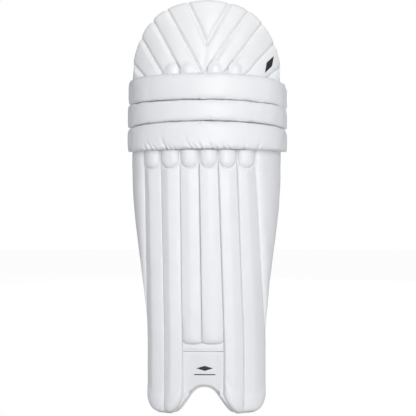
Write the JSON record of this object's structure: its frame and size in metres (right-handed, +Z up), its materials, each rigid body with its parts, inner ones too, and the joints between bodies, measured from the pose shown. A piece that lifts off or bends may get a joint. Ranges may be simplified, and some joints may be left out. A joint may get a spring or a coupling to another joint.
{
  "type": "cricket batting leg pad",
  "caption": "Cricket batting pad: stuffed shin channels, horizontal knee rolls, rounded thigh guard with V channels, wings, arched foot, rear straps.",
  "frame": {"origin": "centre of the bounding box's bottom face, on the ground under the feet", "axes": "+Z up the leg, -Y the face that meets the ball, +X towards the wide outer wing"},
  "size_m": [0.276, 0.198, 0.686],
  "materials": {
    "cover": "matt white coated polyurethane, fine grain",
    "binding": "matt white tape",
    "foam": "raw foam and cotton wadding",
    "cane": "plain split cane",
    "board": "felted fibre board",
    "lining": "soft brushed cloth",
    "webbing": "soft strap with a hook-and-loop face",
    "ring_plastic": "moulded nylon"
  },
  "bodies": {
    "shin": {"shin_channel_cover_1": "cover", "shin_channel_cover_2": "cover", "shin_channel_cover_3": "cover", "shin_channel_cover_4": "cover", "shin_channel_cover_5": "cover", "shin_channel_cover_6": "cover", "shin_channel_foam": "foam", "cane_rods": "cane", "wing_inner_cover": "cover", "wing_outer_cover": "cover", "wing_foam": "foam", "instep_panel": "cover", "instep_band": "cover", "shin_backing_board": "board", "shin_lining": "lining", "foot_binding": "binding", "wing_bindings": "binding", "calf_bolster_inner": "lining", "calf_bolster_outer": "lining", "knee_bolster_ends_lower": "cover", "strap_anchors": "binding", "ring_tabs": "webbing"},
    "knee_lower": {"knee_roll_lower_cover": "cover", "knee_roll_lower_foam": "foam", "knee_backing_lower": "board", "knee_cup_lower": "lining"},
    "knee_middle": {"knee_roll_middle_cover": "cover", "knee_roll_middle_foam": "foam", "knee_backing_middle": "board", "knee_cup_middle": "lining"},
    "knee_upper": {"knee_roll_upper_cover": "cover", "knee_roll_upper_foam": "foam", "knee_backing_upper": "board", "knee_cup_upper": "lining", "knee_bolster_ends_upper": "cover"},
    "top_hat": {"hat_channel_inner_1": "cover", "hat_channel_inner_2": "cover", "hat_channel_inner_3": "cover", "hat_channel_inner_4": "cover", "hat_chevron_cover": "cover", "hat_wedge_cover": "cover", "hat_channel_outer_1": "cover", "hat_channel_outer_2": "cover", "hat_channel_outer_3": "cover", "hat_channel_outer_4": "cover", "hat_foam": "foam", "hat_backing_board": "board", "hat_lining": "lining", "hat_binding": "binding"},
    "knee_strap": {"knee_strap": "webbing"},
    "knee_strap_tail": {"knee_strap_tail": "webbing"},
    "knee_ring": {"knee_ring": "ring_plastic"},
    "calf_strap": {"calf_strap": "webbing"},
    "calf_strap_tail": {"calf_strap_tail": "webbing"},
    "calf_ring": {"calf_ring": "ring_plastic"},
    "ankle_strap": {"ankle_strap": "webbing"},
    "ankle_strap_tail": {"ankle_strap_tail": "webbing"},
    "ankle_ring": {"ankle_ring": "ring_plastic"}
  },
  "joints": [
    {"name": "knee_flex", "type": "hinge", "parent": "shin", "child": "knee_lower", "pos_m": [0, 0.008, 0.4504], "axis": [-1, 0, 0], "range_deg": [0, 6], "stiffness_Nm_per_rad": 6},
    {"name": "knee_crease_middle", "type": "hinge", "parent": "knee_lower", "child": "knee_middle", "pos_m": [0, 0.008, 0.4864], "axis": [-1, 0, 0], "range_deg": [0, 6], "stiffness_Nm_per_rad": 6},
    {"name": "knee_crease_upper", "type": "hinge", "parent": "knee_middle", "child": "knee_upper", "pos_m": [0, 0.008, 0.5213], "axis": [-1, 0, 0], "range_deg": [0, 6], "stiffness_Nm_per_rad": 6},
    {"name": "top_hat_fold", "type": "hinge", "parent": "knee_upper", "child": "top_hat", "pos_m": [0, 0.008, 0.5563], "axis": [-1, 0, 0], "range_deg": [0, 12], "stiffness_Nm_per_rad": 6},
    {"name": "knee_strap_swing", "type": "hinge", "parent": "shin", "child": "knee_strap", "pos_m": [-0.11446, 0.0154, 0.405], "axis": [0, 0, 1], "range_deg": [0, 64]},
    {"name": "knee_tail_peel", "type": "hinge", "parent": "knee_strap", "child": "knee_strap_tail", "pos_m": [0.10358, 0.04374, 0.405], "axis": [0, 0, -1], "range_deg": [0, 110]},
    {"name": "knee_ring_flip", "type": "hinge", "parent": "shin", "child": "knee_ring", "pos_m": [0.11125, 0.02381, 0.405], "axis": [0, 0, 1], "range_deg": [-40, 40]},
    {"name": "calf_strap_swing", "type": "hinge", "parent": "shin", "child": "calf_strap", "pos_m": [-0.10234, 0.00087, 0.272], "axis": [0, 0, 1], "range_deg": [0, 64]},
    {"name": "calf_tail_peel", "type": "hinge", "parent": "calf_strap", "child": "calf_strap_tail", "pos_m": [0.09467, 0.03027, 0.272], "axis": [0, 0, -1], "range_deg": [0, 110]},
    {"name": "calf_ring_flip", "type": "hinge", "parent": "shin", "child": "calf_ring", "pos_m": [0.1002, 0.00961, 0.272], "axis": [0, 0, 1], "range_deg": [-40, 40]},
    {"name": "ankle_strap_swing", "type": "hinge", "parent": "shin", "child": "ankle_strap", "pos_m": [-0.08827, -0.01584, 0.098], "axis": [0, 0, 1], "range_deg": [0, 64]},
    {"name": "ankle_tail_peel", "type": "hinge", "parent": "ankle_strap", "child": "ankle_strap_tail", "pos_m": [0.0782, 0.01284, 0.098], "axis": [0, 0, -1], "range_deg": [0, 110]},
    {"name": "ankle_ring_flip", "type": "hinge", "parent": "shin", "child": "ankle_ring", "pos_m": [0.08555, -0.00726, 0.098], "axis": [0, 0, 1], "range_deg": [-40, 40]}
  ],
  "couplings": [
    {"joint": "knee_crease_middle", "follows": "knee_flex", "ratio": 1},
    {"joint": "knee_crease_upper", "follows": "knee_flex", "ratio": 1}
  ]
}
